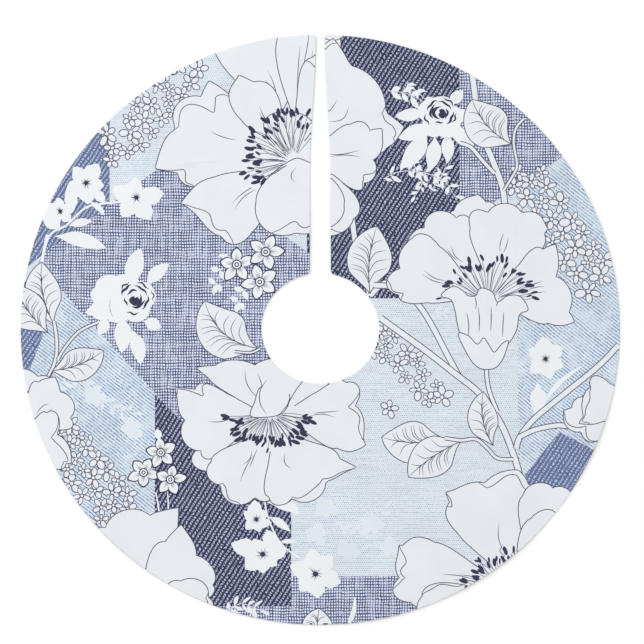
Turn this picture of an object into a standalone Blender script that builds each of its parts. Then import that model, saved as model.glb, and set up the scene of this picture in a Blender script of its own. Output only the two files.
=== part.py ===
"""Round two-layer cloth tree skirt, laid flat with its slit towards +Y.

The skirt is a printed face cloth over a plain backing cloth. Stay tapes lie
between the two along the rim, the neck and the slit. The front half is one
piece of cloth, and the quarters on both sides of the slit fold forward over
it, about one line through the neck. Metres, +Z up, origin on the floor at the
centre of the round outline.
"""
import math

import bmesh
import bpy

# Plan
RIM_RADIUS = 0.559
NECK_HALF_WIDTH = 0.110      # along X
NECK_HALF_DEPTH = 0.105      # along Y
SLIT_NECK_WIDTH = 0.0392     # between the two edges of the slit, by the neck
SLIT_RIM_WIDTH = 0.0168      # the same, at the rim
SLIT_TAPER_START = 0.40      # share of the slit's length where it starts to narrow
NECK_CORNER_RADIUS = 0.006
RIM_CORNER_RADIUS = 0.003

# Layers
BACKING_THICKNESS = 0.0006
TAPE_THICKNESS = 0.0004
FACE_THICKNESS = 0.0006
LAYER_CLEARANCE = 0.0003     # between one layer and the next

# Stay tapes
TAPE_WIDTH = 0.012
TAPE_INSET = 0.003           # from the cloth's edge to the tape
TAPE_END_CLEARANCE = 0.0003  # between two tapes that meet

# Fold
FOLD_CLEARANCE = 0.0003      # between the front half and a quarter, at the fold
FOLD_AXIS_RISE = 0.0010      # of the fold's axis above the face cloth

# Facets
RIM_SEGMENTS = 48            # in a quarter turn
NECK_SEGMENTS = 24           # in a quarter turn
SLIT_SEGMENTS = 12
CORNER_SEGMENTS = 4

TAPE_BOTTOM = BACKING_THICKNESS + LAYER_CLEARANCE
FACE_BOTTOM = TAPE_BOTTOM + TAPE_THICKNESS + LAYER_CLEARANCE
FACE_TOP = FACE_BOTTOM + FACE_THICKNESS
FOLD_AXIS_HEIGHT = FACE_TOP + FOLD_AXIS_RISE

SIDES = {"left": -1, "right": 1}


def clear_scene():
    """Remove every object that the scene starts with."""
    for obj in list(bpy.data.objects):
        bpy.data.objects.remove(obj, do_unlink=True)


def cloth_material(name, color, roughness):
    """A plain cloth finish."""
    material = bpy.data.materials.new(name)
    material.use_nodes = True
    shader = material.node_tree.nodes["Principled BSDF"]
    shader.inputs["Base Color"].default_value = (*color, 1.0)
    shader.inputs["Roughness"].default_value = roughness
    shader.inputs["Metallic"].default_value = 0.0
    material.diffuse_color = (*color, 1.0)
    return material


def fold_axis(name, side):
    """The empty on a quarter's fold line, halfway from the neck to the rim."""
    empty = bpy.data.objects.new(name, None)
    empty.empty_display_size = 0.05
    middle = (NECK_HALF_WIDTH + RIM_RADIUS) / 2
    empty.location = (side * middle, 0.0, FOLD_AXIS_HEIGHT)
    bpy.context.collection.objects.link(empty)
    return empty


def slit_half_width(y):
    """From the middle of the slit to its edge, at a distance y from the centre."""
    share = (y - NECK_HALF_DEPTH) / (RIM_RADIUS - NECK_HALF_DEPTH)
    along = (share - SLIT_TAPER_START) / (1 - SLIT_TAPER_START)
    along = min(max(along, 0.0), 1.0)
    eased = along * along * (3 - 2 * along)
    return (SLIT_NECK_WIDTH + (SLIT_RIM_WIDTH - SLIT_NECK_WIDTH) * eased) / 2


def arc(half_width, half_depth, start, end, segments):
    """Points on an ellipse about the centre, from one angle to another."""
    step = (end - start) / segments
    angles = [start + step * i for i in range(segments + 1)]
    return [(half_width * math.cos(a), half_depth * math.sin(a)) for a in angles]


def angle_at_slit(half_width, half_depth, inset):
    """The angle where an ellipse meets the slit's edge, moved in by inset."""
    y = half_depth
    for _ in range(8):
        x = slit_half_width(y) + inset
        y = half_depth * math.sqrt(1 - (x / half_width) ** 2)
    return math.atan2(y / half_depth, x / half_width)


def angle_at_fold(half_depth):
    """The angle where an ellipse meets the quarter's side of the fold."""
    return math.asin(FOLD_CLEARANCE / 2 / half_depth)


def slit_edge(low, high, inset):
    """Points on the slit's right edge, moved in by inset, from y low to y high."""
    step = (high - low) / SLIT_SEGMENTS
    heights = [low + step * i for i in range(SLIT_SEGMENTS + 1)]
    return [(slit_half_width(y) + inset, y) for y in heights]


def quarter_outline():
    """The right-hand quarter's outline, anticlockwise, and its two corners."""
    rim = (RIM_RADIUS, RIM_RADIUS)
    neck = (NECK_HALF_WIDTH, NECK_HALF_DEPTH)
    outer = arc(*rim, angle_at_fold(rim[1]), angle_at_slit(*rim, 0), RIM_SEGMENTS)
    inner = arc(*neck, angle_at_slit(*neck, 0), angle_at_fold(neck[1]), NECK_SEGMENTS)
    slit = slit_edge(inner[0][1], outer[-1][1], 0)[::-1]
    corners = {outer[-1]: RIM_CORNER_RADIUS, inner[0]: NECK_CORNER_RADIUS}
    return outer + slit[1:-1] + inner, corners


def front_outline():
    """The front half's outline, anticlockwise. It has no slit, so no corners."""
    rim = (RIM_RADIUS, RIM_RADIUS)
    neck = (NECK_HALF_WIDTH, NECK_HALF_DEPTH)
    edge = angle_at_fold(rim[1])
    outer = arc(*rim, math.pi + edge, 2 * math.pi - edge, 2 * RIM_SEGMENTS)
    edge = angle_at_fold(neck[1])
    inner = arc(*neck, 2 * math.pi - edge, math.pi + edge, 2 * NECK_SEGMENTS)
    return outer + inner, {}


def band_outline(half_width, half_depth, inset, start, end, segments):
    """A tape's outline beside an ellipse: a positive inset lies outside it."""
    near = inset
    far = inset + math.copysign(TAPE_WIDTH, inset)
    first = arc(half_width + near, half_depth + near, start, end, segments)
    second = arc(half_width + far, half_depth + far, end, start, segments)
    return first + second, {}


def quarter_band(half_width, half_depth, inset, segments):
    """A curved tape in the right-hand quarter, from the fold to the slit."""
    outer_width = half_width + max(inset, inset + math.copysign(TAPE_WIDTH, inset))
    outer_depth = half_depth + max(inset, inset + math.copysign(TAPE_WIDTH, inset))
    end = angle_at_slit(outer_width, outer_depth, TAPE_INSET)
    smallest = half_depth + min(inset, inset + math.copysign(TAPE_WIDTH, inset))
    end = min(end, angle_at_slit(half_width, smallest, TAPE_INSET))
    return band_outline(half_width, half_depth, inset, angle_at_fold(smallest), end, segments)


def front_band(half_width, half_depth, inset, segments):
    """A curved tape in the front half, from fold to fold."""
    smallest = half_depth + min(inset, inset + math.copysign(TAPE_WIDTH, inset))
    edge = angle_at_fold(smallest)
    start, end = math.pi + edge, 2 * math.pi - edge
    return band_outline(half_width, half_depth, inset, start, end, 2 * segments)


def slit_band():
    """The tape along the right edge of the slit, between the curved tapes."""
    reach = TAPE_INSET + TAPE_WIDTH + TAPE_END_CLEARANCE
    low = NECK_HALF_DEPTH + reach
    x = slit_half_width(RIM_RADIUS) + TAPE_INSET + TAPE_WIDTH
    high = math.sqrt((RIM_RADIUS - reach) ** 2 - x ** 2)
    near = slit_edge(low, high, TAPE_INSET)
    far = slit_edge(low, high, TAPE_INSET + TAPE_WIDTH)
    return near + far[::-1], {}


def mirrored(outline):
    """The same outline on the other side of the slit, still anticlockwise."""
    points, corners = outline
    flipped = {(-x, y): radius for (x, y), radius in corners.items()}
    return [(-x, y) for x, y in reversed(points)], flipped


def round_corners(bm, corners):
    """Round the upright edges at the outline's corners."""
    for (x, y), radius in corners.items():
        upright = [
            edge for edge in bm.edges
            if all(math.dist(v.co.xy, (x, y)) < 1e-5 for v in edge.verts)
        ]
        bmesh.ops.bevel(
            bm, geom=upright, offset=radius, offset_type="OFFSET", affect="EDGES",
            segments=CORNER_SEGMENTS, profile=0.5, material=-1,
        )


def layer(name, outline, bottom, thickness, material, parent=None):
    """A flat piece of cloth or tape, cut to an outline."""
    points, corners = outline
    bm = bmesh.new()
    cut = bm.faces.new([bm.verts.new((x, y, bottom)) for x, y in points])
    raised = bmesh.ops.extrude_face_region(bm, geom=[cut])["geom"]
    raised = [v for v in raised if isinstance(v, bmesh.types.BMVert)]
    bmesh.ops.translate(bm, verts=raised, vec=(0, 0, thickness))
    round_corners(bm, corners)
    bmesh.ops.recalc_face_normals(bm, faces=bm.faces)
    if parent:
        bmesh.ops.translate(bm, verts=bm.verts, vec=-parent.location)
    mesh = bpy.data.meshes.new(name)
    bm.to_mesh(mesh)
    bm.free()
    mesh.materials.append(material)
    obj = bpy.data.objects.new(name, mesh)
    obj.parent = parent
    bpy.context.collection.objects.link(obj)
    return obj


def backing_cloths(axes):
    """The plain lining that lies on the floor."""
    cloth = cloth_material("backing", (0.86, 0.87, 0.89), 0.9)
    layer("backing_cloth_front", front_outline(), 0, BACKING_THICKNESS, cloth)
    quarters = {"right": quarter_outline(), "left": mirrored(quarter_outline())}
    for side, outline in quarters.items():
        name = f"backing_cloth_{side}"
        layer(name, outline, 0, BACKING_THICKNESS, cloth, axes[side])


def face_cloths(axes):
    """The printed cloth on top."""
    cloth = cloth_material("face", (0.42, 0.46, 0.62), 0.8)
    layer("face_cloth_front", front_outline(), FACE_BOTTOM, FACE_THICKNESS, cloth)
    quarters = {"right": quarter_outline(), "left": mirrored(quarter_outline())}
    for side, outline in quarters.items():
        name = f"face_cloth_{side}"
        layer(name, outline, FACE_BOTTOM, FACE_THICKNESS, cloth, axes[side])


def curved_tapes(name, half_width, half_depth, inset, segments, axes):
    """A stay tape that runs round the rim or the neck, in its three lengths."""
    cloth = cloth_material(name, (0.80, 0.79, 0.76), 0.85)
    front = front_band(half_width, half_depth, inset, segments)
    layer(f"{name}_front", front, TAPE_BOTTOM, TAPE_THICKNESS, cloth)
    right = quarter_band(half_width, half_depth, inset, segments)
    for side, outline in {"right": right, "left": mirrored(right)}.items():
        layer(f"{name}_{side}", outline, TAPE_BOTTOM, TAPE_THICKNESS, cloth, axes[side])


def slit_tapes(axes):
    """The stay tapes along the two edges of the slit."""
    cloth = cloth_material("slit_tape", (0.80, 0.79, 0.76), 0.85)
    for side, outline in {"right": slit_band(), "left": mirrored(slit_band())}.items():
        name = f"slit_tape_{side}"
        layer(name, outline, TAPE_BOTTOM, TAPE_THICKNESS, cloth, axes[side])


def main():
    clear_scene()
    axes = {side: fold_axis(f"{side}_fold_axis", sign) for side, sign in SIDES.items()}
    backing_cloths(axes)
    face_cloths(axes)
    curved_tapes("rim_tape", RIM_RADIUS, RIM_RADIUS, -TAPE_INSET, RIM_SEGMENTS, axes)
    curved_tapes("neck_tape", NECK_HALF_WIDTH, NECK_HALF_DEPTH, TAPE_INSET, NECK_SEGMENTS, axes)
    slit_tapes(axes)
    bpy.context.view_layer.update()


main()
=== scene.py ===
# Round printed tree skirt, laid flat. Lengths in the print are in millimetres from the skirt's centre.
import math
import random

import bmesh
import bpy
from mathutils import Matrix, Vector, noise
from mathutils.geometry import delaunay_2d_cdt


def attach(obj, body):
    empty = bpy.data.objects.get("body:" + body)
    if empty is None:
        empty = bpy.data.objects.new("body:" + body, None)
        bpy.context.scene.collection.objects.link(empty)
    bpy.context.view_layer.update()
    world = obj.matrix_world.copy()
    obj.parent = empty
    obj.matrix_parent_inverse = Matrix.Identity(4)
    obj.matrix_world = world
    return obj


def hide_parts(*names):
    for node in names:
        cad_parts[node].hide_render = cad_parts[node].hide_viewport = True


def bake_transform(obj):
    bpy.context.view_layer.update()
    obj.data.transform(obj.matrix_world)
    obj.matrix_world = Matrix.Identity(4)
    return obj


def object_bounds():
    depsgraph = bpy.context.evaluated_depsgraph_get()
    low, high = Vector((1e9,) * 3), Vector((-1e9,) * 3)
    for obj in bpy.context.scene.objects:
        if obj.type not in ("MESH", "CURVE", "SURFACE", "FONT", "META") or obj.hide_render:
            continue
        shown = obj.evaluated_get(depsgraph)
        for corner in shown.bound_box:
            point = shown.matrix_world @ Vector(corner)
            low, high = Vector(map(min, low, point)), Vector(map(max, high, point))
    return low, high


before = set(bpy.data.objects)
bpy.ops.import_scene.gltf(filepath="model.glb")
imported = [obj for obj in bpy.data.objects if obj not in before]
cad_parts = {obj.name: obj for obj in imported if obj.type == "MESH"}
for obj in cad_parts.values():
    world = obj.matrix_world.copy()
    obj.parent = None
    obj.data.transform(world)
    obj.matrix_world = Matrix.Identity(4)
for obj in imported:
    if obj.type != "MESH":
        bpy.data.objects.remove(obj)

cadLow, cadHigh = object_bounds()
mm = 0.001

skirt = {
    "rimRadius": cadHigh.x / mm,
    "neckHalfWidth": 110.0,
    "neckHalfDepth": 105.0,
    "slitNeckWidth": 39.2,
    "slitRimWidth": 16.8,
    "slitTaperStart": 0.40,
    "neckCorner": 6.0,
    "rimCorner": 3.0,
    "faceTop": cadHigh.z / mm,
    "foldBand": 6.0,         # the cloth bends this far on both sides of the fold line
    "foldMiddle": 0.33,      # metres from the centre to the middle of each quarter's fold
}


def slitHalfWidth(y):
    share = (y - skirt["neckHalfDepth"]) / (skirt["rimRadius"] - skirt["neckHalfDepth"])
    along = min(max((share - skirt["slitTaperStart"]) / (1 - skirt["slitTaperStart"]), 0), 1)
    eased = along * along * (3 - 2 * along)
    return (skirt["slitNeckWidth"] + (skirt["slitRimWidth"] - skirt["slitNeckWidth"]) * eased) / 2


def ellipseArc(halfWidth, halfDepth, start, end, count):
    turns = [start + (end - start) * i / count for i in range(count + 1)]
    return [complex(halfWidth * math.cos(t), halfDepth * math.sin(t)) for t in turns]


def meetSlit(halfWidth, halfDepth, inset):
    y = halfDepth
    for _ in range(8):
        x = slitHalfWidth(y) + inset
        y = halfDepth * math.sqrt(1 - (x / halfWidth) ** 2)
    return math.atan2(y / halfDepth, x / halfWidth)


def roundedCorner(before, corner, after, radius):
    toBefore = (before - corner) / abs(before - corner)
    toAfter = (after - corner) / abs(after - corner)
    start, end = corner + toBefore * radius, corner + toAfter * radius
    steps = [i / 5 for i in range(6)]
    return [(1 - t) ** 2 * start + 2 * t * (1 - t) * corner + t * t * end for t in steps]


def skirtOutline(inset):
    rim = skirt["rimRadius"] - inset
    wide, deep = skirt["neckHalfWidth"] + inset, skirt["neckHalfDepth"] + inset
    rimEnd, neckEnd = meetSlit(rim, rim, inset), meetSlit(wide, deep, inset)
    outer = ellipseArc(rim, rim, math.pi - rimEnd, 2 * math.pi + rimEnd, 560)
    inner = ellipseArc(wide, deep, 2 * math.pi + neckEnd, math.pi - neckEnd, 190)
    low, high = inner[0].imag, outer[-1].imag
    slit = [high + (low - high) * i / 70 for i in range(1, 70)]
    right = [complex(slitHalfWidth(y) + inset, y) for y in slit]
    left = [complex(-p.real, p.imag) for p in reversed(right)]
    corners = [
        roundedCorner(outer[-3], outer[-1], right[1], skirt["rimCorner"]),
        roundedCorner(right[-2], inner[0], inner[3], skirt["neckCorner"]),
        roundedCorner(inner[-4], inner[-1], left[1], skirt["neckCorner"]),
        roundedCorner(left[-2], outer[0], outer[2], skirt["rimCorner"]),
    ]
    near = lambda path, centres: [p for p in path if all(abs(p - c) > r for c, r in centres)]
    cut = [(outer[-1], 4), (inner[0], 7.5), (inner[-1], 7.5), (outer[0], 4)]
    return (near(outer, cut) + corners[0] + near(right, cut) + corners[1] + near(inner, cut)
            + corners[2] + near(left, cut) + corners[3])


# drawing tools for the print: a point is a complex number, x + yi, in millimetres

printShapes = []         # (outline, ink), in the order in which they are printed
lineWidth = 1.7          # of the drawn ink lines


def at(x, y):
    return complex(x, y)


def ray(length, degrees):
    return length * complex(math.cos(math.radians(degrees)), math.sin(math.radians(degrees)))


def lay(outline, ink):
    turning = sum((a.conjugate() * b).imag for a, b in zip(outline, outline[1:] + outline[:1]))
    printShapes.append((outline if turning > 0 else outline[::-1], ink))


def smoothPath(points, steps=6, closed=False):
    count = len(points)
    pick = (lambda i: points[i % count]) if closed else (lambda i: points[max(0, min(count - 1, i))])
    path = []
    for i in range(count if closed else count - 1):
        a, b, c, d = pick(i - 1), pick(i), pick(i + 1), pick(i + 2)
        for k in range(steps):
            t = k / steps
            path.append(0.5 * (2 * b + (c - a) * t + (2 * a - 5 * b + 4 * c - d) * t * t
                               + (3 * b - a - 3 * c + d) * t ** 3))
    return path if closed else path + [points[-1]]


def stroke(path, width=lineWidth, start=1.0, end=1.0, ink="line"):
    # a ribbon along the path, printed in short lengths; start and end thin it at its ends
    last = len(path) - 1
    rails = []
    for i, p in enumerate(path):
        ahead = path[min(i + 1, last)] - path[max(i - 1, 0)]
        if abs(ahead) < 1e-9:
            continue
        t = i / last
        share = min(start + (1 - start) * min(1, t * 3), end + (1 - end) * min(1, (1 - t) * 3))
        half = ahead / abs(ahead) * 1j * width / 2 * max(share, 0.12)
        rails.append((p + half, p - half))
    for i in range(0, len(rails) - 1, 4):
        part = rails[i:i + 5]
        lay([a for a, b in part] + [b for a, b in reversed(part)], ink)


def outlined(path, fill="petal", width=lineWidth):
    lay(path, fill)
    stroke(path + path[:1], width)


def drawn(points):
    # a freely drawn outline through a few points
    outlined(smoothPath([at(*p) for p in points], 5, True))


def inkLine(points, width=lineWidth, start=0.3, end=0.3, ink="line"):
    stroke(smoothPath([at(*p) for p in points], 5), width, start, end, ink)


def disc(centre, radius, ink, count=10, flat=1.0, turn=0.0):
    lay([centre + complex(radius * math.cos(2 * math.pi * i / count),
                          radius * flat * math.sin(2 * math.pi * i / count)) * ray(1, turn)
         for i in range(count)], ink)


petalPoints = 84


def petal(base, tip, width, belly=0.4, blunt=0.65, ruffle=3.0, lobes=5, horns=(), lips=(), veins=(), seed=0):
    # base to tip is the petal's axis; 0 to 1 runs round the edge, and 0.5 is the tip.
    # horns are (place, height, breadth), lips (from, to, depth), veins (side, from, to)
    base, tip = at(*base), at(*tip)
    axis = tip - base
    side = axis / abs(axis) * 1j
    draw = random.Random(seed)
    shift = [draw.uniform(0, 6.28) for _ in range(4)]
    widest = max(math.sin(f / 50) * math.sin(f / 100) ** belly for f in range(1, 157))

    def edgeAt(f):
        turn = 2 * math.pi * f
        along = ((1 - math.cos(turn)) / 2) ** blunt
        across = math.sin(turn) * math.sin(turn / 2) ** belly / widest
        p = base + axis * along + side * across * width / 2
        out = p - (base + axis * 0.55)
        near = math.sin(turn / 2) ** 3
        scallop = 2 * abs(math.sin(lobes * turn / 2 + shift[0])) ** 0.7 - 1
        wave = scallop + 0.6 * math.sin(3.3 * turn + shift[1])
        push = ruffle * near * wave + sum(h * math.exp(-(abs(f - g) / b) ** 1.2) for g, h, b in horns)
        return p + out / max(abs(out), 1e-6) * push

    stops = sorted({i / petalPoints for i in range(petalPoints)} | {g for g, h, b in horns})
    begin = int(0.47 * len(stops))       # near the tip, clear of the other petals' meeting point
    outlined([edgeAt(f) for f in stops[begin:] + stops[:begin]])
    heart = base + axis * 0.5
    for start, end, depth in lips:
        path = []
        for i in range(25):
            u = i / 24
            p = edgeAt(start + (end - start) * u)
            inward = (heart - p) / abs(heart - p)
            sway = 1 + 0.45 * math.sin(9 * u + shift[2])
            path.append(p + inward * depth * math.sin(math.pi * u) ** 0.7 * sway)
        stroke(path, lineWidth, 0.8, 0.8)
    for place, start, end in veins:
        sway = draw.uniform(-0.05, 0.05)
        path = []
        for i in range(9):
            u = start + (end - start) * i / 8
            aside = place * 0.42 * u ** 1.3 + sway * math.sin(math.pi * i / 8)
            path.append(base + axis * u + side * width * aside)
        stroke(path, lineWidth * 0.9, 0.25, 0.2)


def stamens(centre, start, end, reach, count, flat, size, seed, bend=0.12):
    centre = at(*centre)
    draw = random.Random(seed)
    heads = []
    for i in range(count):
        turn = start + (end - start) * (i + draw.uniform(0.2, 0.8)) / count
        far = ray(reach * draw.uniform(0.74, 1.1), turn)
        far = complex(far.real, far.imag * flat)
        tip = centre + far
        foot = centre + far * draw.uniform(0.16, 0.34)
        middle = (foot + tip) / 2 + (tip - foot) * 1j * draw.uniform(-bend, bend)
        stroke(smoothPath([foot, middle, tip], 4), 1.1, 0.7, 0.7)
        heads.append((tip, math.degrees(math.atan2(far.imag, far.real)) + draw.uniform(-28, 28)))
    for tip, turn in heads:
        long = size * draw.uniform(0.35, 0.62)
        disc(tip, long, "solid", 10, draw.uniform(0.32, 0.46), turn)


def leaf(base, tip, width, bend=0.0, veins=4, fill="petal", line=True, doubled=1):
    base, tip = at(*base), at(*tip)
    axis = tip - base
    rib = [base + axis * (i / 14) + axis * 1j * bend * 4 * (i / 14) * (1 - i / 14) for i in range(15)]

    def half(t):
        if not 0 < t < 1:
            return 0
        return width / 2 * math.sin(math.pi * t) ** 0.8 * min(1, 0.35 + 2.2 * t)

    def edge(t, sign):
        i = min(int(t * 14), 13)
        p = rib[i] + (rib[i + 1] - rib[i]) * (t * 14 - i)
        return p + (rib[i + 1] - rib[i]) / abs(rib[i + 1] - rib[i]) * 1j * sign * half(t)

    stops = [i / 16 for i in range(17)]
    path = [edge(t, -1) for t in stops] + [edge(t, 1) for t in reversed(stops[1:-1])]
    if not line:
        lay(path, fill)
        return
    outlined(path, fill)
    if veins:
        stroke(rib, lineWidth, 1, 0.4)
    for k in range(veins):      # side veins sweep forward; on one side they come in pairs
        t = 0.14 + 0.6 * k / veins
        for sign in (-1, 1):
            for gap in ((0, 0.05) if sign == doubled else (0.02,)):
                start = edge(t + gap, 0)
                end = edge(min(t + gap + 0.26, 0.97), sign)
                reach = start + (end - start) * 0.84
                middle = (start + reach) / 2 - (reach - start) * 1j * 0.2 * sign
                stroke(smoothPath([start, middle, reach], 4), 1.3, 0.9, 0.2)


def whiteLeaves(*rows):
    for base, tip, width, bend in rows:
        leaf(base, tip, width, bend, 0, "leafWhite", False)


def stem(points, width, line=True, fill="petal"):
    path = smoothPath([at(*p) for p in points], 6)
    if line:
        stroke(path, width + 2 * lineWidth)
    stroke(path, width, ink=fill)


def sprig(points, size, count, fill="leafWhite", seed=0, spread=48):
    # small pointed leaves in pairs along a thin stalk
    draw = random.Random(seed)
    path = smoothPath([at(*p) for p in points], 8)
    stroke(path, 1.2, 1, 0.4, fill)
    for i in range(count):
        j = int((i + 0.6) / count * (len(path) - 2))
        ahead = math.degrees(math.atan2((path[j + 1] - path[j]).imag, (path[j + 1] - path[j]).real))
        for sign in (-1, 1):
            if draw.random() < 0.12:
                continue
            reach = size * draw.uniform(0.65, 1.15)
            far = path[j] + ray(reach, ahead + sign * spread * draw.uniform(0.7, 1.3))
            leaf((path[j].real, path[j].imag), (far.real, far.imag), size * draw.uniform(0.26, 0.4),
                 0.05 * sign, 0, fill, False)
    end = path[-1] + (path[-1] - path[-3]) / abs(path[-1] - path[-3]) * size
    leaf((path[-1].real, path[-1].imag), (end.real, end.imag), size * 0.32, 0, 0, fill, False)


def starFlower(centre, turn, reaches, fill="leafWhite", heart=10.0):
    # a white flower cut out of the ground, one petal for each reach, with a dark burst at its heart
    centre = at(*centre)
    draw = random.Random(int(turn) + len(reaches))
    for k, reach in enumerate(reaches):
        aim = turn + 360 / len(reaches) * k + draw.uniform(-9, 9)
        path = []
        for i in range(24):
            f = 2 * math.pi * i / 24
            across = math.sin(f) * math.sin(f / 2) ** 0.7 * min(reach * 0.5, 21)
            across *= 1 + 0.1 * math.sin(4 * f + k)
            along = ((1 - math.cos(f)) / 2) ** 1.05 + 0.14 * math.exp(-((f - math.pi) / 0.3) ** 2)
            path.append(centre + ray(1, aim) * complex(reach * along, across))
        lay(path, fill)
    disc(centre, min(reaches) * 0.42, fill, 14)
    if heart:
        disc(centre, heart * 0.42, "solid", 9)
        for k in range(15):
            aim = 24 * k + draw.uniform(-9, 9)
            stroke([centre, centre + ray(heart * draw.uniform(0.7, 1.35), aim)], 2.0, 1, 0.1, "solid")


def tinyFlower(centre, radius, turn, draw):
    for k in range(5):
        aim = turn + 72 * k + draw.uniform(-10, 10)
        reach = radius * draw.uniform(0.82, 1.25)
        middle = centre + ray(reach * 0.6, aim)
        slim = draw.uniform(0.5, 0.74)
        disc(middle, reach * 0.42 + lineWidth / 2, "line", 12, slim + 0.06, aim)
        disc(middle, reach * 0.42 - lineWidth / 2, "petal", 12, slim, aim)
    disc(centre, radius * 0.17 + lineWidth * 0.6, "line", 9)
    disc(centre, radius * 0.17, "petal", 9)


def flowerCluster(path, breadth, count, size, seed=0, buds=6):
    # little outlined flowers, scattered along a path
    draw = random.Random(seed)
    line = smoothPath([at(*p) for p in path], 8)
    placed = []
    for _ in range(count * 40):
        if len(placed) >= count:
            break
        p = draw.choice(line) + ray(breadth * draw.random() ** 0.7, draw.uniform(0, 360))
        r = size * draw.uniform(0.72, 1.15)
        if all(abs(p - q) > (r + s) * 0.74 for q, s in placed):
            placed.append((p, r))
    for p, r in placed:
        tinyFlower(p, r, draw.uniform(0, 72), draw)
    for _ in range(buds):
        p = draw.choice(line) + ray(breadth * 1.1, draw.uniform(0, 360))
        turn, reach = draw.uniform(0, 180), size * draw.uniform(0.35, 0.6)
        if all(abs(p - q) > s * 1.2 for q, s in placed):
            disc(p, reach + lineWidth / 2, "line", 12, 0.66, turn)
            disc(p, reach - lineWidth / 2, "petal", 12, 0.6, turn)


def pointedFlower(centre, radius, turn=0.0, seed=0):
    # five pointed petals with a bolder outline, each with a few short creases, round a ringed heart
    centre = at(*centre)
    draw = random.Random(seed)
    for k in range(5):
        aim = turn + 72 * k + draw.uniform(-7, 7)
        far = radius * draw.uniform(0.92, 1.12)
        wide = radius * draw.uniform(0.5, 0.6)
        foot = centre + ray(radius * 0.1, aim)
        tip, inner = centre + ray(far, aim), centre + ray(far - 3, aim)
        leaf((foot.real, foot.imag), (tip.real, tip.imag), wide + 3.6, 0.0, 0, "solid", False)
        leaf((foot.real, foot.imag), (inner.real, inner.imag), wide, 0.0, 0, "leafWhite", False)
        for spread, end in ((0, 0.66), (-14, 0.5), (14, 0.52)):
            inner, outer = ray(radius * 0.24, aim + spread), ray(radius * end, aim + spread * 0.7)
            stroke([centre + inner, centre + outer], 1.5, 0.9, 0.2)
    for share, ink in ((0.27, "solid"), (0.21, "leafWhite"), (0.13, "solid"), (0.07, "leafWhite")):
        disc(centre, radius * share, ink, 14)


def rose(centre, heart, turn=0.0, mounds=(), leaves=(), size=33.0, mirror=1):
    # a white cut-out rose: a few mounds of petals, pointed leaves, and an inked swirl at its heart
    for base, tip, width in leaves:
        leaf(base, tip, width, 0.05, 0, "leafWhite", False, 0.5)
    for x, y, reach in mounds:
        disc(at(centre[0] + x, centre[1] + y), reach, "leafWhite", 18, 0.92, 20)
    heart = at(*heart)

    def crescent(reach, start, end, width):
        path = [heart + ray(size * reach * (1 + 0.05 * math.sin(0.8 * i + 9 * reach)),
                            turn + mirror * (start + (end - start) * i / 12)) for i in range(13)]
        stroke(path, size * width, 0.1, 0.1, "solid")

    disc(heart + ray(size * 0.14, turn - 120), size * 0.29, "solid", 14, 0.8, turn)
    disc(heart + ray(size * 0.1, turn + 50), size * 0.1, "leafWhite", 10, 0.6, turn + 30)
    for reach, start, end, width in ((0.36, -170, 20, 0.2), (0.44, 60, 150, 0.13), (0.54, -120, -20, 0.16),
                                     (0.58, -190, -140, 0.1), (0.66, 0, 85, 0.12), (0.74, -70, 0, 0.13),
                                     (0.76, 95, 160, 0.15), (0.9, 20, 75, 0.1), (0.94, 100, 140, 0.1),
                                     (0.92, -130, -85, 0.1), (1.04, -20, 15, 0.07)):
        crescent(reach, start, end, width)
    for far, aim in ((1.42, 174), (1.52, 186), (1.6, 196)):
        inner, outer = ray(size * far, turn + aim), ray(size * (far + 0.05), turn + aim + 14 * mirror)
        stroke([heart + inner, heart + outer], size * 0.1, 0.2, 0.2, "solid")
# the printed patchwork: each patch is laid over the one before
def patch(points, ink):
    lay([at(*p) for p in points], ink)


def patchwork():
    patch([(-600, -600), (600, -600), (600, 600), (-600, 600)], "dotted")
    patch([(-394, 450), (-394, 231), (-516, 142), (-560, 105), (-600, 105), (-600, 450)], "midDenim")
    patch([(-398, 231), (-299, 307), (-14, 337), (-14, -193), (-262, -184), (-308, -123), (-475, 63),
          (-527, 125), (-516, 142)], "weave")
    patch([(-600, 72), (-504, 60), (-475, 63), (-500, 0), (-544, -85), (-600, -120)], "midDenim")
    patch([(-475, 63), (-308, -123), (-308, -392), (-411, -440), (-600, -260), (-544, -85), (-517, -11),
          (-504, 60)], "striped")
    patch([(-66, 175), (-10, 200), (-10, 140), (-25, 145)], "dotted")
    patch([(-25, 190), (-10, 200), (-10, 130), (-25, 145)], "denim")
    patch([(0, 600), (261, 600), (261, 57), (37, 57), (0, 57)], "denim")
    patch([(261, 600), (600, 420), (600, 326), (453, 326), (346, 254), (261, 195)], "weave")
    patch([(346, 254), (453, 326), (600, 426), (600, -288), (445, -196), (381, -277), (368, -277),
          (368, 243)], "striped")
    patch([(381, -277), (445, -196), (580, -268), (503, -400), (404, -336)], "midDenim")
    patch([(-54, -468), (260, -468), (260, -600), (-224, -600), (-224, -525), (-54, -525)], "weave")
    patch([(-308, -125), (-262, -172), (-200, -212), (-54, -212), (-54, -525), (-308, -525)], "denim")


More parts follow.
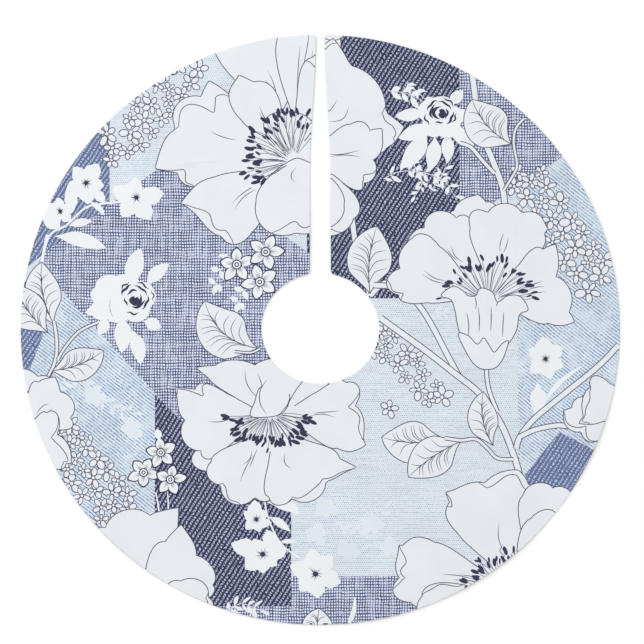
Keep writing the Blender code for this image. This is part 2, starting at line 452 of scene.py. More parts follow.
def topBlossom():
    petal((-80, 385), (-112, 600), 186, 0.6, 0.6, 10, 5, horns=[(0.3, 12, 0.02)], veins=[(0.1, 0.1, 0.5),
          (0.35, 0.2, 0.42), (-0.2, 0.1, 0.35)], seed=4)
    petal((-50, 400), (-12, 590), 116, 0.5, 0.7, 6, 4, veins=[(0.5, 0.3, 0.7), (0.1, 0.5, 0.9),
          (-0.3, 0.3, 0.7)], seed=7)
    drawn([(0, 560), (22, 548), (44, 556), (58, 572), (40, 578), (16, 590), (0, 585)])
    petal((-62, 330), (92, 462), 226, 0.5, 0.55, 9, 7, horns=[(0.38, 30, 0.04), (0.62, 20, 0.03)],
          lips=[(0.26, 0.39, 24), (0.56, 0.68, 17)], veins=[(-0.1, 0.5, 0.72), (0.32, 0.5, 0.68)],
          seed=12)
    petal((-40, 326), (104, 330), 126, 0.4, 0.5, 8, 7, horns=[(0.41, 18, 0.03)], lips=[(0.56, 0.7, 12)],
          veins=[(0.25, 0.35, 0.8), (-0.1, 0.4, 0.8)], seed=21)
    petal((-46, 322), (-272, 378), 184, 0.5, 0.55, 12, 7, horns=[(0.40, 34, 0.04), (0.70, 14, 0.03)],
          lips=[(0.50, 0.78, 30), (0.27, 0.40, 11)], veins=[(-0.25, 0.5, 0.72)], seed=3)
    petal((-66, 350), (-150, 466), 84, 0.5, 0.75, 5, 3, horns=[(0.52, 12, 0.03)],
          veins=[(0.25, 0.2, 0.55), (-0.2, 0.3, 0.6)], seed=5)
    petal((-62, 330), (-60, 412), 90, 0.5, 0.8, 2, 3, seed=6)
    petal((-58, 316), (-212, 198), 134, 0.6, 0.55, 5, 6, horns=[(0.6, 32, 0.04)], lips=[(0.36, 0.6, 18)],
          veins=[(0.25, 0.4, 0.7), (-0.1, 0.35, 0.68)], seed=8)
    disc(at(-52, 316), 46, "petal", 20)
    disc(at(-112, 292), 30, "petal", 16)
    petal((-40, 322), (40, 184), 110, 0.4, 0.7, 5, 5, lips=[(0.5, 0.66, 12)], seed=15)
    petal((-44, 324), (-36, 178), 168, 0.12, 0.75, 6, 4, lips=[(0.40, 0.6, 22)],
          veins=[(-0.42, 0.12, 0.32)], seed=9)
    stamens((-50, 318), 60, 216, 90, 44, 1.0, 16, seed=2)


def rightBlossom():
    petal((316, 70), (278, 246), 96, 0.5, 0.7, 6, 5, horns=[(0.55, 6, 0.03)], seed=31)
    petal((316, 60), (200, 200), 126, 0.5, 0.55, 9, 6, horns=[(0.36, 14, 0.03)], veins=[(0.1, 0.5, 0.66),
          (-0.2, 0.45, 0.66)], seed=33)
    petal((316, 52), (144, 126), 126, 0.5, 0.5, 9, 7, horns=[(0.62, 12, 0.03)], lips=[(0.30, 0.42, 8)],
          veins=[(0.1, 0.46, 0.72), (-0.15, 0.48, 0.72)], seed=36)
    petal((316, 60), (362, 226), 144, 0.5, 0.55, 9, 7, horns=[(0.66, 10, 0.02)], veins=[(0.15, 0.5, 0.72),
          (-0.1, 0.5, 0.68)], seed=38)
    petal((312, 52), (456, 86), 146, 0.5, 0.55, 9, 7, horns=[(0.37, 14, 0.03), (0.63, 16, 0.03)],
          veins=[(0.3, 0.5, 0.74), (0.05, 0.5, 0.74), (-0.2, 0.5, 0.74)], seed=41)
    disc(at(313, 60), 52, "petal", 20)
    stamens((313, 50), 2, 178, 86, 38, 0.92, 16, seed=6, bend=0.06)
    drawn([(225, 62), (248, 80), (268, 70), (276, 62), (290, 62), (296, 74), (306, 76), (322, 68),
          (331, 50), (350, 62), (374, 60), (388, 36), (372, 26), (366, -4), (350, -30), (328, -48), (300,
          -50), (272, -34), (258, -2), (252, 30), (244, 54)])
    for place in ((276, 0), (296, 10), (318, 12), (340, 2)):
        inkLine([(place[0], place[1] - 18), (place[0] + 1, place[1] + 6),
                (place[0] + (place[0] - 308) * 0.08, place[1] + 30)])
    inkLine([(288, 62), (291, 50), (290, 36)])
    inkLine([(331, 51), (329, 42)])
    drawn([(257, -11), (276, -14), (293, -30), (305, -18), (316, -34), (325, -45), (338, -30), (351, -24),
          (344, -50), (338, -62), (328, -74), (311, -78), (294, -74), (278, -56)])


def leftBlossom():
    petal((-110, -190), (-226, -268), 70, 0.5, 0.65, 6, 4, veins=[(0.0, 0.5, 0.85)], seed=58)
    petal((-98, -180), (-98, -60), 226, 0.35, 0.45, 7, 9, horns=[(0.30, 18, 0.03)],
          veins=[(0.55, 0.35, 0.85), (0.28, 0.45, 0.8), (-0.5, 0.3, 0.6)], seed=54)
    petal((-76, -168), (28, -96), 70, 0.5, 0.6, 4, 4, seed=55)
    petal((-92, -160), (-254, -180), 138, 0.45, 0.5, 9, 6, horns=[(0.62, 22, 0.03)],
          lips=[(0.6, 0.76, 14)], veins=[(0.05, 0.45, 0.72)], seed=56)
    petal((-86, -164), (76, -166), 130, 0.45, 0.5, 8, 7, horns=[(0.6, 20, 0.03)], lips=[(0.40, 0.59, 12)],
          veins=[(0.25, 0.45, 0.75), (-0.1, 0.4, 0.7)], seed=62)
    petal((-96, -180), (-164, -316), 132, 0.45, 0.5, 9, 6, lips=[(0.46, 0.58, 9)],
          veins=[(0.2, 0.35, 0.6), (0.05, 0.45, 0.8), (-0.3, 0.4, 0.6)], seed=60)
    petal((-92, -182), (-14, -312), 152, 0.45, 0.5, 8, 7, horns=[(0.34, 30, 0.03)],
          lips=[(0.35, 0.6, 13)], veins=[(-0.3, 0.4, 0.6)], seed=64)
    disc(at(-86, -182), 52, "petal", 18)
    stamens((-95, -160), 184, 356, 76, 44, 0.86, 16, seed=8, bend=0.08)
    drawn([(-130, -166), (-122, -138), (-112, -112), (-84, -106), (-58, -124), (-62, -150), (-76, -163),
          (-98, -168)])
    disc(at(-82, -116), 32, "petal", 18, 0.55, 10)
    inkLine([(-100, -98), (-112, -118), (-112, -142), (-100, -163)])
    inkLine([(-56, -128), (-62, -146), (-76, -162)])


def cornerBlossoms():
    petal((352, -486), (320, -290), 184, 0.3, 0.5, 8, 7, horns=[(0.36, 20, 0.03), (0.57, 14, 0.05)],
          lips=[(0.46, 0.64, 16), (0.31, 0.36, 8)], veins=[(0.0, 0.32, 0.6), (-0.1, 0.28, 0.4)], seed=71)
    petal((380, -440), (438, -300), 104, 0.5, 0.6, 6, 5, seed=73)
    petal((366, -450), (432, -350), 64, 0.4, 0.8, 4, 4, seed=74)
    petal((352, -486), (142, -456), 126, 0.35, 0.5, 8, 7, horns=[(0.6, 18, 0.03)], lips=[(0.42, 0.6, 15)],
          veins=[(0.2, 0.3, 0.5), (-0.1, 0.3, 0.6), (-0.35, 0.25, 0.45)], seed=76)
    petal((352, -510), (180, -536), 92, 0.5, 0.7, 5, 4, lips=[(0.6, 0.8, 8)], seed=78)
    disc(at(345, -480), 48, "petal", 20)
    stamens((345, -490), 40, 180, 74, 26, 0.9, 15, seed=11)
    petal((-330, -540), (-362, -356), 190, 0.35, 0.5, 9, 7, horns=[(0.64, 22, 0.03)], seed=81)
    petal((-350, -560), (-226, -424), 136, 0.4, 0.5, 8, 6, horns=[(0.4, 20, 0.03)],
          veins=[(0.2, 0.2, 0.4), (0.0, 0.2, 0.35)], seed=83)
    petal((-340, -580), (-210, -500), 104, 0.4, 0.6, 6, 5, lips=[(0.5, 0.75, 9)], seed=85)
    petal((-568, -190), (-536, -82), 86, 0.5, 0.6, 6, 5, seed=87)
    petal((-560, -190), (-478, -128), 108, 0.5, 0.55, 7, 6, horns=[(0.42, 10, 0.03)],
          veins=[(0.2, 0.4, 0.7), (-0.2, 0.4, 0.7)], seed=89)
    petal((-572, -230), (-478, -206), 108, 0.5, 0.55, 8, 6, horns=[(0.62, 10, 0.03)],
          lips=[(0.4, 0.7, 14)], seed=91)
    petal((560, -140), (470, -186), 84, 0.5, 0.7, 7, 5, horns=[(0.6, 8, 0.03)], lips=[(0.3, 0.6, 10)],
          seed=93)
    petal((590, -150), (492, -132), 84, 0.5, 0.6, 7, 5, horns=[(0.36, 16, 0.03)], lips=[(0.3, 0.6, 10)],
          seed=94)


def stemsAndLeaves():
    stem([(60, 205), (66, 160), (80, 110), (93, 62)], 9)
    stem([(93, 62), (120, 86), (150, 80), (180, 70)], 9)
    leaf((93, 66), (106, 194), 84, 0.06, 4)
    stem([(100, 82), (140, 78), (168, 62), (200, 20), (240, -56), (260, -94)], 9)
    stem([(112, 20), (150, -8), (200, -45), (250, -85), (298, -125), (336, -180), (360, -240),
         (373, -285)], 10)
    stem([(310, -76), (311, -97), (316, -122), (330, -158)], 6)
    stem([(365, -228), (372, -205), (400, -170), (460, -120), (520, -70), (556, -32)], 9)
    stem([(372, -205), (400, -192), (440, -184), (462, -186)], 8)
    leaf((322, -222), (304, -120), 56, 0.1, 4, doubled=-1)
    leaf((232, -208), (114, -206), 80, 0.08, 4, doubled=-1)
    leaf((262, -214), (164, -282), 74, -0.05, 4)
    stem([(360, -248), (330, -246), (312, -228), (290, -210), (262, -212), (232, -208)], 5)
    stem([(285, 480), (290, 440), (292, 392), (318, 330), (340, 270), (345, 228)], 10)
    stem([(262, 352), (282, 344), (304, 318), (326, 294)], 6)
    stem([(382, 400), (366, 380), (362, 352), (368, 310), (360, 290), (343, 262)], 4)
    leaf((358, 350), (284, 436), 84, 0.1, 4, doubled=-1)
    leaf((-497, 8), (-520, 126), 68, 0.08, 4)
    leaf((-508, -8), (-574, 86), 68, 0.06, 4, doubled=-1)
    stem([(-497, 14), (-492, -20), (-493, -55), (-506, -90), (-530, -120)], 5)
    stem([(-414, 12), (-450, -6), (-476, -36), (-490, -60)], 4)
    leaf((-502, -80), (-404, -42), 62, -0.08, 4)
    stem([(-500, -76), (-512, -100), (-528, -124)], 4)
    leaf((-116, -38), (-216, 52), 92, 0.16, 4)
    stem([(-112, -38), (-130, -46), (-160, -44)], 3)
    leaf((-4, -592), (-2, -528), 56, 0.04, 3)


def whiteSprays():
    whiteLeaves(((-497, 175), (-400, 152), 27, 0.05), ((-471, 194), (-426, 203), 15, 0.05),
                ((-486, 186), (-517, 222), 30, 0.0), ((-462, 222), (-470, 266), 24, 0.0),
                ((-432, 240), (-404, 214), 11, 0.1), ((-428, 262), (-404, 236), 18, 0.1))
    stem([(-372, 240), (-410, 236), (-440, 228), (-474, 196), (-506, 176), (-521, 124)], 4, False,
         "leafWhite")
    stem([(-510, 178), (-516, 150), (-521, 118)], 5, False, "leafWhite")
    starFlower((-438, 276), 60, (38, 34, 40, 36, 30))
    starFlower((-486, 222), 20, (26, 24, 30, 28, 24), heart=8)
    starFlower((-344, 248), 88, (34, 42, 40, 44, 46))
    whiteLeaves(((-100, -330), (-40, -352), 24, 0.15), ((-97, -356), (-56, -384), 15, 0.05),
                ((-100, -380), (-92, -414), 26, 0.05), ((-70, -412), (-92, -396), 13, 0.05),
                ((-76, -404), (-44, -404), 9, 0.05))
    stem([(-106, -300), (-100, -347), (-85, -387), (-66, -414), (-40, -432)], 3, False, "leafWhite")
    starFlower((-119, -361), 95, (32, 24, 24, 22, 24, 22), heart=8)
    starFlower((-107, -427), 10, (40, 28, 30, 55, 38, 32, 30), heart=11)
    starFlower((-9, -464), 40, (40, 42, 44, 38, 40, 44), heart=12)
    starFlower((420, -58), 95, (38, 32, 34, 34, 32, 34), heart=9)
    whiteLeaves(((404, -104), (402, -164), 30, 0.05), ((412, -150), (492, -70), 9, 0.08),
                ((46, -566), (64, -506), 9, -0.1))
    sprig([(126, 452), (164, 446), (206, 424)], 28, 4, seed=3, spread=34)
    sprig([(160, 468), (180, 452), (202, 430)], 20, 3, seed=13, spread=34)
    sprig([(118, 284), (150, 298), (190, 296), (232, 280), (258, 236)], 22, 10, seed=4)
    sprig([(166, 330), (178, 306), (190, 276), (178, 252)], 16, 7, seed=14)
    sprig([(206, 262), (224, 284), (236, 312)], 16, 5, seed=15)
    for foot, mid, far in (((-170, 134), (-186, 110), (-194, 84)), ((-126, 94), (-142, 72), (-152, 50))):
        inkLine([foot, mid, far], 1.2, 1, 0.4, "leafWhite")
        for spot, (x, y) in ((foot, (-20, 6)), (mid, (-20, 4)), (mid, (6, -18)), (far, (-16, 10)),
                             (far, (10, -14)), (far, (-6, -20))):
            leaf(spot, (spot[0] + x, spot[1] + y), 10, 0, 0, "leafWhite", False)
    sprig([(-182, -545), (-150, -520), (-112, -532)], 20, 6, seed=6)
    for tip, width in (((20, 556), 26), ((60, 560), 22), ((100, 552), 24)):
        leaf((60, 590), tip, width, 0.05, 0, "leafWhite", False)
    # washed-out flowers on the pale cloth
    for x, y, turn in ((-8, -390, 10), (52, -420, 50), (96, -372, 80), (132, -416, 20), (10, -340, 60),
                       (-460, -70, 30), (-420, -130, 70), (-470, -150, 10), (-350, -190, 40)):
        starFlower((x, y), turn, (18, 22, 20, 17, 21), "faded", 0)
    sprig([(20, -370), (70, -385), (120, -340)], 20, 8, "faded", 7)
    sprig([(-500, -110), (-450, -100), (-390, -150), (-350, -160)], 22, 9, "faded", 8)
    sprig([(180, 20), (230, 30), (290, 10)], 18, 8, "faded", 9)


def rosesAndPosies():
    rose((-373, 54), (-346, 58), 10, [(-22, 24, 26), (8, 22, 30), (34, 6, 32), (30, -18, 26),
         (-4, -16, 30), (-34, -18, 22), (-38, 10, 18)], [((-352, 80), (-335, 152), 34),
         ((-325, 82), (-283, 122), 25), ((-400, 22), (-413, -12), 22), ((-372, 24), (-371, -46), 32),
         ((-352, -2), (-335, -68), 27), ((-330, 14), (-298, 0), 24), ((-410, 40), (-438, 30), 18)])
    rose((216, 398), (224, 410), 100, [(-10, 16, 24), (10, 20, 26), (28, 4, 24), (22, -14, 24),
         (-2, -12, 24)], [((196, 414), (140, 404), 24), ((204, 390), (146, 362), 28),
         ((200, 376), (150, 304), 34), ((214, 366), (204, 300), 28), ((234, 372), (238, 316), 24),
         ((240, 384), (286, 340), 28), ((244, 424), (268, 452), 22), ((252, 404), (280, 404), 24)], 32,
         -1)
    for centre, turn in (((-156, 121), 20), ((-102, 145), 70), ((-113, 88), 40)):
        pointedFlower(centre, 35, turn, int(-centre[0]))
    for centre, turn in (((-297, -235), 30), ((-329, -273), 60), ((-279, -286), 10)):
        pointedFlower(centre, 31, turn, int(-centre[0]))
    inkLine([(-306, -310), (-300, -350), (-306, -392)], 3, 0.6, 0.4, "leafWhite")
    inkLine([(-284, -312), (-284, -350), (-304, -388)], 3, 0.6, 0.4, "leafWhite")
    whiteLeaves(((-300, -212), (-304, -190), 14, 0))
    flowerCluster([(-378, 348), (-340, 385), (-300, 430), (-258, 485)], 32, 25, 18, 3)
    flowerCluster([(392, 268), (425, 215), (468, 165), (508, 105)], 36, 27, 19, 5, 12)
    flowerCluster([(110, -20), (135, -45), (180, -80), (220, -118)], 26, 15, 17, 8, 8)
    flowerCluster([(118, -150), (130, -160)], 10, 2, 20, 9, 0)
    flowerCluster([(-470, -215), (-440, -270), (-400, -310), (-380, -350)], 38, 26, 17, 12, 10)


def drawPrint():
    patchwork()
    whiteSprays()
    rosesAndPosies()
    stemsAndLeaves()
    topBlossom()
    rightBlossom()
    leftBlossom()
    cornerBlossoms()


# the lie of the cloth: low wide waves, flat at the fold line and never below the floor
lie = {"wave": 260.0, "ripple": 110.0, "rise": 3.0, "foldSpread": 120.0, "grid": 12.0}


def lift(x, y):
    broad = noise.noise(Vector((x / lie["wave"], y / lie["wave"], 3.1)))
    small = noise.noise(Vector((x / lie["ripple"], y / lie["ripple"] * 0.8, 8.7)))
    height = 1 / (1 + math.exp(-5 * (broad + 0.45 * small)))
    away = max(abs(y) - skirt["foldBand"], 0) / lie["foldSpread"]
    return height * lie["rise"] * (1 - math.exp(-away * away))


inks = ["dotted", "midDenim", "weave", "striped", "denim", "petal", "leafWhite", "faded", "line", "solid"]


def planMesh(inset, shapes):
    # the skirt's plan cut along every printed outline, with a grid between them;
    # where shapes overlap, the last one printed shows
    outline = skirtOutline(inset)
    places, loops = [], []
    for loop in [outline] + [shape for shape, ink in shapes]:
        loops.append(list(range(len(places), len(places) + len(loop))))
        places += loop
    step = lie["grid"]
    reach = math.ceil(skirt["rimRadius"] / step)
    for row in range(-reach, reach + 1):
        if abs(row * step) < skirt["foldBand"] + 1:
            continue
        for column in range(-reach, reach + 1):
            places.append(complex((column + 0.5 * (row % 2)) * step, row * step))
    rows = []
    for k in range(-3, 4):          # the cloth bends between these rows when a quarter folds over
        y = skirt["foldBand"] * k / 3
        for x in (-skirt["rimRadius"] - 9, skirt["neckHalfWidth"] - 9):
            rows.append((len(places), len(places) + 1))
            places += [complex(x, y), complex(x + skirt["rimRadius"] - skirt["neckHalfWidth"] + 18, y)]
    cut = delaunay_2d_cdt([Vector((p.real, p.imag)) for p in places], rows, loops, 0, 1e-5, True)
    bm = bmesh.new()
    corners = [bm.verts.new((p.x, p.y, 0)) for p in cut[0]]
    for face, printed in zip(cut[2], cut[5]):
        if 0 in printed:
            made = bm.faces.new([corners[i] for i in face])
            top = max(printed)
            made.material_index = inks.index(shapes[top - 1][1]) if top else 0
    bmesh.ops.delete(bm, geom=[v for v in bm.verts if not v.link_faces], context="VERTS")
    return bm


def turnEdge(bm, profile, inset):
    # carries the open edge, print and all, out and down to the seam;
    # profile is (outward from the seam line, height) in mm
    rim = [e for e in bm.edges if e.is_boundary]
    outward, foot = {}, {}
    for v in {v for e in rim for v in e.verts}:
        total = Vector((0, 0, 0))
        for e in v.link_edges:
            if e.is_boundary:
                along = e.link_loops[0].link_loop_next.vert.co - e.link_loops[0].vert.co
                total += Vector((along.y, -along.x, 0)).normalized()
        outward[v], foot[v] = total.normalized(), v.co.copy()
    for out, height in profile:
        made = bmesh.ops.extrude_edge_only(bm, edges=rim)["geom"]
        fresh = {g for g in made if isinstance(g, bmesh.types.BMVert)}
        for v in fresh:
            old = next(e.other_vert(v) for e in v.link_edges if e.other_vert(v) not in fresh)
            outward[v], foot[v] = outward[old], foot[old]
            v.co = foot[v] + outward[v] * (out + inset)
            v.co.z = height
        strip = {g for g in made if isinstance(g, bmesh.types.BMFace)}
        for f in strip:
            beside = [other for e in f.edges for other in e.link_faces if other not in strip]
            f.material_index = beside[0].material_index
        rim = [g for g in made if isinstance(g, bmesh.types.BMEdge) and set(g.verts) <= fresh]


def finishPiece(bm, name, box=None):
    # millimetres to metres, the cloth's own map, smooth faces, and the object itself
    bmesh.ops.scale(bm, vec=(mm, mm, mm), verts=bm.verts)
    plan = bm.loops.layers.uv.new("clothPlan")
    bake = bm.loops.layers.uv.new("OFBake") if box else None
    for face in bm.faces:
        face.smooth = True
        for loop in face.loops:
            place = loop.vert.co
            loop[plan].uv = (place.x, place.y)
            if bake:
                loop[bake].uv = (0.01 + 0.98 * (place.x / mm - box[0]) / (box[2] - box[0]),
                                 0.01 + 0.98 * (place.y / mm - box[1]) / (box[3] - box[1]))
    mesh = bpy.data.meshes.new(name)
    bm.to_mesh(mesh)
    bm.free()
    piece = bpy.data.objects.new(name, mesh)
    bpy.context.collection.objects.link(piece)
    return piece


parts = ("front", "left", "right")
band = skirt["foldBand"]
radius = skirt["rimRadius"]
boxes = {"front": (-radius, -radius, radius, -band), "left": (-radius, -band, 0, radius),
         "right": (0, -band, radius, radius)}


def partAt(x, y):
    return "front" if y < -band else "left" if x < 0 else "right"


def threePieces(bm, name, finishes):
    # the front half, and the two back quarters with the strip that bends at the fold line
    made = {}
    for part in parts:
        piece = bm.copy()
        away = [f for f in piece.faces if partAt(*f.calc_center_median().xy) != part]
        bmesh.ops.delete(piece, geom=away, context="FACES")
        used = sorted({f.material_index for f in piece.faces})
        for f in piece.faces:
            f.material_index = used.index(f.material_index)
        made[part] = finishPiece(piece, name + "_" + part, boxes[part])
        for i in used:
            made[part].data.materials.append(finishes[inks[i]])
    bm.free()
    return made


def goWith(piece, part):
    # the front half carries the front pieces; the others stay where they are, with their transform baked
    # into the mesh
    if part == "front":
        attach(piece, "front_half")
    else:
        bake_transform(piece)


# the light on the cloth is a little over one, so colours are given as they look and evened out here
exposure = 1.06


def tone(red, green, blue):
    return tuple(((c / 255 + 0.055) / 1.055) ** 2.4 / exposure for c in (red, green, blue)) + (1,)


class Finish:
    # a Principled material and short ways to wire its pattern
    def __init__(self, name, roughness, sheen):
        self.material = bpy.data.materials.new(name)
        self.material.use_nodes = True
        self.tree = self.material.node_tree
        self.shader = self.tree.nodes["Principled BSDF"]
        self.shader.inputs["Roughness"].default_value = roughness
        self.shader.inputs["Sheen Weight"].default_value = sheen
        self.shader.inputs["Sheen Roughness"].default_value = 0.5
        self.shader.inputs["Sheen Tint"].default_value = (1, 1, 1, 1)
        self.shader.inputs["Specular IOR Level"].default_value = 0.25

    def link(self, source, target):
        if hasattr(source, "is_output"):
            self.tree.links.new(source, target)
        else:
            target.default_value = source

    def node(self, kind, **settings):
        made = self.tree.nodes.new("ShaderNode" + kind)
        for key, value in settings.items():
            setattr(made, key, value)
        return made

    def plan(self, turn=0.0):
        # the cloth's own map in millimetres, turned so that x runs across a pattern's lines
        made = self.node("UVMap", uv_map="clothPlan")
        mapping = self.node("Mapping")
        self.link(made.outputs["UV"], mapping.inputs["Vector"])
        mapping.inputs["Rotation"].default_value = (0, 0, math.radians(-turn))
        mapping.inputs["Scale"].default_value = (1000, 1000, 1000)
        return mapping.outputs["Vector"]

    def parts(self, vector):
        made = self.node("SeparateXYZ")
        self.link(vector, made.inputs[0])
        return made.outputs["X"], made.outputs["Y"]

    def join(self, x, y, z=0.0):
        made = self.node("CombineXYZ")
        for i, value in enumerate((x, y, z)):
            self.link(value, made.inputs[i])
        return made.outputs[0]

    def sum(self, operation, a, b=0.0, c=0.0, clamp=False):
        made = self.node("Math", operation=operation, use_clamp=clamp)
        for i, value in enumerate((a, b, c)):
            self.link(value, made.inputs[i])
        return made.outputs[0]

    def times(self, a, b, clamp=False):
        return self.sum("MULTIPLY", a, b, clamp=clamp)

    def noise(self, vector, scale, detail=2.0, rough=0.5, distortion=0.0):
        made = self.node("TexNoise")
        self.link(vector, made.inputs["Vector"])
        made.inputs["Scale"].default_value = scale
        made.inputs["Detail"].default_value = detail
        made.inputs["Roughness"].default_value = rough
        made.inputs["Distortion"].default_value = distortion
        return made.outputs["Fac"]

    def wave(self, value, pitch, phase=0.0):
        # 0 to 1, once in each pitch
        turn = self.times(value, 2 * math.pi / pitch)
        return self.sum("MULTIPLY_ADD", self.sum("COSINE", self.sum("ADD", turn, phase)), 0.5, 0.5)

    def plainWeave(self, x, y, yarn):
        over = self.times(self.wave(x, yarn * 2), self.wave(y, yarn * 2))
        under = self.times(self.wave(x, yarn * 2, math.pi), self.wave(y, yarn * 2, math.pi))
        return self.sum("ADD", over, under)

    def sway(self, scale, width):
        # a slow drift to either side, so that printed lines are never quite straight
        return self.sum("MULTIPLY_ADD", self.noise(self.flat, scale, 2), width, -width / 2)

    def ramp(self, value, low, high, bottom=0.0, top=1.0):
        made = self.node("MapRange", interpolation_type="SMOOTHSTEP")
        settings = {"Value": value, "From Min": low, "From Max": high, "To Min": bottom, "To Max": top}
        for key, setting in settings.items():
            self.link(setting, made.inputs[key])
        return made.outputs["Result"]

    def mix(self, share, first, second, blend="MIX"):
        made = self.node("Mix", data_type="RGBA", blend_type=blend)
        for target, value in ((made.inputs[0], share), (made.inputs[6], first), (made.inputs[7], second)):
            self.link(value, target)
        return made.outputs[2]

    def colour(self, value, shade):
        shaded = self.mix(1.0, value, self.join(shade, shade, shade), "MULTIPLY")
        self.link(shaded, self.shader.inputs["Base Color"])

    def bump(self, height, distance, strength=1.0, below=None):
        made = self.node("Bump")
        made.inputs["Strength"].default_value = strength
        made.inputs["Distance"].default_value = distance
        self.link(height, made.inputs["Height"])
        if below:
            self.link(below, made.inputs["Normal"])
        self.link(made.outputs["Normal"], self.shader.inputs["Normal"])
        return made.outputs["Normal"]


# all the printed cloth is one brushed polyester: a fine plain weave with a soft nap under the print
napCloth = {"yarn": 0.9, "yarnDepth": 0.00005, "napDepth": 0.00012, "sheen": 0.12, "roughness": 0.82}


def printedFinish(name):
    f = Finish(name, napCloth["roughness"], napCloth["sheen"])
    plan = f.plan()
    x, y = f.parts(plan)
    weave = f.plainWeave(x, y, napCloth["yarn"])
    nap = f.noise(plan, 0.35, 4, 0.6)
    first = f.bump(nap, napCloth["napDepth"])
    f.bump(weave, napCloth["yarnDepth"], 0.8, first)
    f.link(f.ramp(f.noise(plan, 0.08, 3), 0.3, 0.7, 0.78, 0.9), f.shader.inputs["Roughness"])
    f.weaveHeight, f.x, f.y, f.flat = weave, x, y, plan
    return f


def inkToneAndWeaveShade(f, colour, amount=0.05):
    # a slow random change of tone, and painted shade: a little darker in the hollows between the yarns
    broad = f.ramp(f.noise(f.flat, 0.012, 3), 0.3, 0.7, 1 - amount, 1 + amount * 0.4)
    # painted shade: darker where the weave is low, between the yarns
    fine = f.ramp(f.weaveHeight, 0.1, 0.9, 1 - amount * 0.6, 1.0)
    f.colour(colour, f.times(broad, fine))


def plainInk(name, red, green, blue, amount=0.05):
    f = printedFinish(name)
    inkToneAndWeaveShade(f, tone(red, green, blue), amount)
    return f.material


def weaveInk(name):
    # printed chambray: pale squares between dark threads, with slubs both ways
    look = {"across": 4.9, "up": 5.5, "dark": (78, 88, 130), "mid": (188, 196, 226),
            "pale": (241, 245, 253)}
    f = printedFinish(name)
    sway = f.sway(0.05, 5.0)
    x, y = f.sum("ADD", f.x, sway), f.sum("SUBTRACT", f.y, sway)
    across, up = f.wave(x, look["across"]), f.wave(y, look["up"])
    column = f.join(f.times(x, 1 / look["across"]), f.times(y, 0.018))
    row = f.join(f.times(x, 0.018), f.times(y, 1 / look["up"]), 7.0)
    slubAcross = f.ramp(f.noise(column, 0.9, 2, 0.6), 0.32, 0.66, 0.4, 1.7)
    slubUp = f.ramp(f.noise(row, 0.9, 2, 0.6), 0.32, 0.68, 0.55, 1.5)
    slub = f.times(slubAcross, slubUp)
    speck = f.ramp(f.noise(f.flat, 0.45, 2, 0.6), 0.3, 0.7, 0.6, 1.3)
    window = f.times(f.sum("SUBTRACT", 1.0, across), f.sum("SUBTRACT", 1.0, up))
    ground = f.mix(f.ramp(window, 0.15, 0.6), tone(*look["mid"]), tone(*look["pale"]))
    dark = f.times(f.times(f.ramp(window, 0.42, 0.05), slub), speck, clamp=True)
    inkToneAndWeaveShade(f, f.mix(dark, ground, tone(*look["dark"])), 0.06)
    return f.material


def twillInk(name, turn, pitch, dash, dark, light, share=1.0):
    # printed denim: pale dashes along slanting ribs
    f = printedFinish(name)
    x, y = f.parts(f.plan(turn))
    sway = f.sway(0.035, 4.0)
    x = f.sum("ADD", x, sway)
    rib = f.wave(x, pitch)
    place = f.join(f.times(x, 0.12), f.times(y, 0.03))
    drift = f.sum("MULTIPLY_ADD", f.noise(place, 1.0, 2), 26.0, y)
    dashes = f.wave(f.sum("MULTIPLY_ADD", x, 0.45, drift), dash)      # they lean across each rib
    fade = f.ramp(f.noise(f.join(x, f.times(y, 0.35)), 0.25, 3, 0.6), 0.3, 0.68, 0.3, 1.4)
    broad = f.ramp(f.noise(f.flat, 0.02, 3), 0.3, 0.7, 0.75, 1.2)
    mark = f.times(f.ramp(rib, 0.32, 0.72), f.ramp(dashes, 0.2, 0.62, 0.0, 1.15))
    mark = f.times(f.times(mark, fade), f.times(broad, share), clamp=True)
    inkToneAndWeaveShade(f, f.mix(mark, tone(*dark), tone(*light)), 0.06)
    return f.material


def stripeInk(name):
    # worn pale twill: fine blue lines running down to the right, rubbed away in places
    look = {"pitch": 5.35, "turn": 51, "ground": (214, 227, 239), "line": (84, 115, 168),
            "pale": (226, 235, 242)}
    f = printedFinish(name)
    x, y = f.parts(f.plan(look["turn"]))
    sway = f.sway(0.03, 5.0)
    lines = f.ramp(f.wave(f.sum("ADD", x, sway), look["pitch"]), 0.5, 0.95)
    broken = f.ramp(f.noise(f.join(x, f.times(y, 0.45)), 0.5, 3, 0.65), 0.36, 0.58, 0.1, 1.1)
    worn = f.ramp(f.noise(f.flat, 0.02, 5, 0.65, 0.4), 0.36, 0.55, 0.35, 1.05)
    mark = f.times(f.times(lines, broken), worn, clamp=True)
    ground = f.mix(f.ramp(f.noise(f.flat, 0.03, 3), 0.4, 0.65), tone(*look["ground"]), tone(*look["pale"]))
    inkToneAndWeaveShade(f, f.mix(mark, ground, tone(*look["line"])), 0.04)
    return f.material


